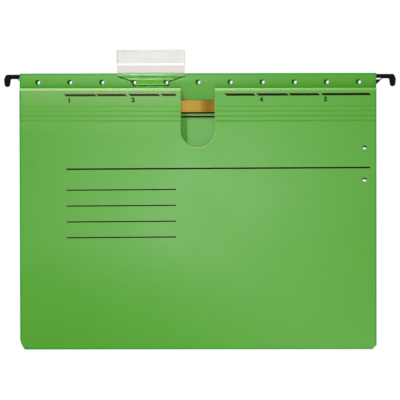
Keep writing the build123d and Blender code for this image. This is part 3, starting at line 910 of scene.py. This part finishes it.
# Depth inside the tongue's outline: from its straight sides and bottom, and from its slanted sides
slant_run, slant_rise = tab_half - tongue_half, slant_top - slant_bottom
slant_length = (slant_run**2 + slant_rise**2) ** 0.5
tongue_in = step(tab_tree, "SUBTRACT", tongue_half, tab_aside)
tongue_in = step(tab_tree, "MINIMUM", tongue_in, step(tab_tree, "SUBTRACT", tab_up, tongue_bottom))
slant_in = step(tab_tree, "SUBTRACT", tab_half, tab_aside)
slant_in = step(tab_tree, "MULTIPLY", slant_in, slant_rise / slant_length)
slant_up = step(tab_tree, "SUBTRACT", tab_up, slant_top)
slant_in = step(tab_tree, "MULTIPLY_ADD", slant_up, slant_run / slant_length, slant_in)
edge_depth = step(tab_tree, "MAXIMUM", tongue_in, slant_in)
# A painted shadow line runs along the tongue's outline
tongue_edge_shadow = between(tab_tree, edge_depth, edge_shadow_reach, edge_shadow_reach / 3)
tab_colour = lay_over(tab_tree, tab_colour, tongue_edge_shadow, tongue_shadow_tint, tab_shader)

# The pegs look straight through the header to the light behind it
peg_ends = [vertex.co for vertex in nodes["index_tab"].data.vertices if vertex.co.y > 0.0]
for side in (-1, 1):
    peg = [place for place in peg_ends if (place.x - tab_middle) * side > 0]
    peg_x = sum(place.x for place in peg) / len(peg)
    peg_z = sum(place.z for place in peg) / len(peg)
    across = step(tab_tree, "SUBTRACT", tab_apart["X"], peg_x)
    away = away_from(tab_tree, across, step(tab_tree, "SUBTRACT", tab_up, peg_z))
    peg_mask = between(tab_tree, away, peg_radius + peg_soft, peg_radius, ease="LINEAR")
    tab_colour = lay_over(tab_tree, tab_colour, peg_mask, peg_clear, tab_shader)
vary(tab_tree, tab_grain["Polish"], tab_shader.inputs["Roughness"], least=0.03, most=0.09)
emboss(tab_tree, tab_grain["Polish"], tab_shader, mould_depth)
tab_shader.inputs["IOR"].default_value = tab_bend
tab_shader.inputs["Transmission Weight"].default_value = 1.0


def mix_shaders(tree, share, first, second):
    """A mix of two shaders, given as their outputs."""
    mix = tree.nodes.new("ShaderNodeMixShader")
    for socket, output in zip(mix.inputs, (share, first, second)):
        tree.links.new(output, socket)
    return mix.outputs["Shader"]


def pass_lamps(tree, shader, colour):
    """Let the lamps shine through clear plastic, dimmed by a colour at each surface."""
    clear = tree.nodes.new("ShaderNodeBsdfTransparent")
    clear.inputs["Color"].default_value = (*colour, 1.0)
    to_lamp = tree.nodes.new("ShaderNodeLightPath").outputs["Is Shadow Ray"]
    lit = mix_shaders(tree, to_lamp, shader.outputs["BSDF"], clear.outputs["BSDF"])
    tree.links.new(lit, tree.nodes["Material Output"].inputs["Surface"])


pass_lamps(tab_tree, tab_shader, tab_pass)


def frosted(name, dark, light):
    """Clear plastic with a frosted surface, which lets only a share of the light straight through."""
    material, tree, shader = new_finish(name)
    grain = use_group(tree, mould_grain, piece_place(tree))
    tint(tree, grain["Polish"], shader, dark, light)
    vary(tree, grain["Grain"], shader.inputs["Roughness"], least=0.25, most=0.4)
    emboss(tree, grain["Grain"], shader, mould_depth)
    shader.inputs["IOR"].default_value = frost_bend
    shader.inputs["Transmission Weight"].default_value = frost_clear
    pass_lamps(tree, shader, frost_pass)
    return material


tab_frost = frosted("tab_frost", dark=(0.72, 0.70, 0.68), light=(0.80, 0.78, 0.76))
dress("index_tab", tab_plastic, tab_frost)
for tab_face in nodes["index_tab"].data.polygons:
    below_sleeve = tab_face.center.z < plate_level
    tab_face.material_index = int(below_sleeve and abs(tab_face.normal.y) < side_facing)

# Three low ribs are moulded across the front of the tongue, and their crowns are frosted
rib_frost = frosted("rib_frost", dark=(0.90, 0.90, 0.81), light=(0.95, 0.94, 0.88))
rib_mesh = bmesh.new()
rib_turns = [pi * k / rib_steps for k in range(rib_steps + 1)]
for level, half_length, half_width in ribs:
    rib_section = [(rib_front - rib_rise * sin(a), level + half_width * cos(a)) for a in rib_turns]
    rings = []
    for end in (tab_middle - half_length, tab_middle + half_length):
        rings.append([rib_mesh.verts.new((end, y, z)) for y, z in rib_section])
    for k in range(rib_steps):
        rib_mesh.faces.new((rings[0][k], rings[0][k + 1], rings[1][k + 1], rings[1][k])).smooth = True
    rib_mesh.faces.new((rings[0][0], rings[1][0], rings[1][-1], rings[0][-1]))
    for ring in rings:
        rib_mesh.faces.new(ring)
bmesh.ops.recalc_face_normals(rib_mesh, faces=rib_mesh.faces[:])
tab_ribs = new_piece("tab_ribs", rib_mesh, rib_frost)
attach(tab_ribs, "index_tab")


# Tab label. A blank strip of white card, cut from a sheet to the height of the sleeve. It slides in
# from the open end of the sleeve, and nothing else holds it.
label_dark = (0.86, 0.845, 0.815)
label_light = (0.90, 0.885, 0.86)
label_card = card_finish("label_card", label_dark, label_light, rough=0.6, shine=0.12)
dress("tab_label", label_card)


# Studio. A pale round table below the folder and a white surround. A small key lamp shines steeply
# from the upper left, a soft lamp stands in front and a broad one lights the back. The camera stands
# far off, a little to the right and above.
table_radius = 0.55
table_level = -0.40
table_steps = 128
table_dark = (0.86, 0.86, 0.85)
table_light = (0.89, 0.89, 0.88)
table_rough = 0.8
ambient_strength = 0.25
view_middle = Vector((0.0001, 0, -0.10775))
view_width = 0.3558
view_lens = 300.0
view_roll = radians(0.115)
view_turn = radians(0.8)  # to the right
view_lift = radians(1.5)  # and above

table_finish, table_tree, table_shader = new_finish("table_finish")
table_grain = use_group(table_tree, mould_grain, piece_place(table_tree))
tint(table_tree, table_grain["Polish"], table_shader, table_dark, table_light)
table_shader.inputs["Roughness"].default_value = table_rough
table_top = bmesh.new()
table_ring = arc_points((0, 0), table_radius, 0, tau, table_steps)[:-1]
table_top.faces.new([table_top.verts.new((x, y, table_level)) for x, y in table_ring])
table = new_piece("table", table_top, table_finish)

world = bpy.data.worlds.new("surround")
bpy.context.scene.world = world
world.use_nodes = True
sky = world.node_tree
ambient = sky.nodes["Background"]
ambient.inputs["Color"].default_value = (1.0, 1.0, 1.0, 1.0)
ambient.inputs["Strength"].default_value = ambient_strength
white = sky.nodes.new("ShaderNodeBackground")
white.inputs["Color"].default_value = (1.0, 1.0, 1.0, 1.0)
unlit = sky.nodes.new("ShaderNodeBackground")
unlit.inputs["Strength"].default_value = 0.0

# The surround is white to the camera, in reflections and through clear plastic, but not as a light:
# what a matt surface sees of it is dim, and through plastic it sees none of it
sky_rays = sky.nodes.new("ShaderNodeLightPath").outputs
direct = step(sky, "LESS_THAN", sky_rays["Diffuse Depth"], 0.5)
seen = step(sky, "MAXIMUM", sky_rays["Is Camera Ray"], sky_rays["Is Glossy Ray"])
seen = step(sky, "MAXIMUM", seen, sky_rays["Is Transmission Ray"])
seen = step(sky, "MULTIPLY", seen, direct)
lost = step(sky, "MAXIMUM", step(sky, "SUBTRACT", sky_rays["Is Transmission Ray"], direct), 0.0)
dim = mix_shaders(sky, lost, ambient.outputs["Background"], unlit.outputs["Background"])
surround = mix_shaders(sky, seen, dim, white.outputs["Background"])
sky.links.new(surround, sky.nodes["World Output"].inputs["Surface"])


def add_lamp(name, place, size, power, target, spread):
    """A square soft lamp that faces a place on the folder, with its light spread over an angle."""
    lamp = bpy.data.lights.new(name, "AREA")
    lamp.size = size
    lamp.energy = power
    lamp.spread = radians(spread)
    holder = bpy.data.objects.new(name, lamp)
    holder.location = place
    holder.rotation_euler = (Vector(target) - Vector(place)).to_track_quat("-Z", "Y").to_euler()
    holder.visible_transmission = False
    bpy.context.scene.collection.objects.link(holder)


add_lamp("key", (-0.55, -0.57, 1.27), size=0.07, power=15.3, target=view_middle, spread=180)
add_lamp("front", (-0.018, -1.0, -0.116), size=0.2, power=0.71, target=(0.03, 0, -0.10), spread=90)
add_lamp("back", (0.5, 1.35, 0.6), size=0.8, power=12.5, target=view_middle, spread=180)

camera = bpy.data.cameras.new("camera")
camera.lens = view_lens
camera.clip_end = 20.0
viewer = bpy.data.objects.new("camera", camera)
view_distance = view_width * view_lens / camera.sensor_width
view_reach = view_distance * cos(view_lift)
view_rise = view_distance * sin(view_lift)
view_offset = Vector((view_reach * sin(view_turn), -view_reach * cos(view_turn), view_rise))
viewer.location = view_middle + view_offset
viewer.rotation_euler = (radians(90) - view_lift, view_roll, view_turn)
bpy.context.scene.collection.objects.link(viewer)
bpy.context.scene.camera = viewer
bpy.context.scene.view_settings.view_transform = "Standard"
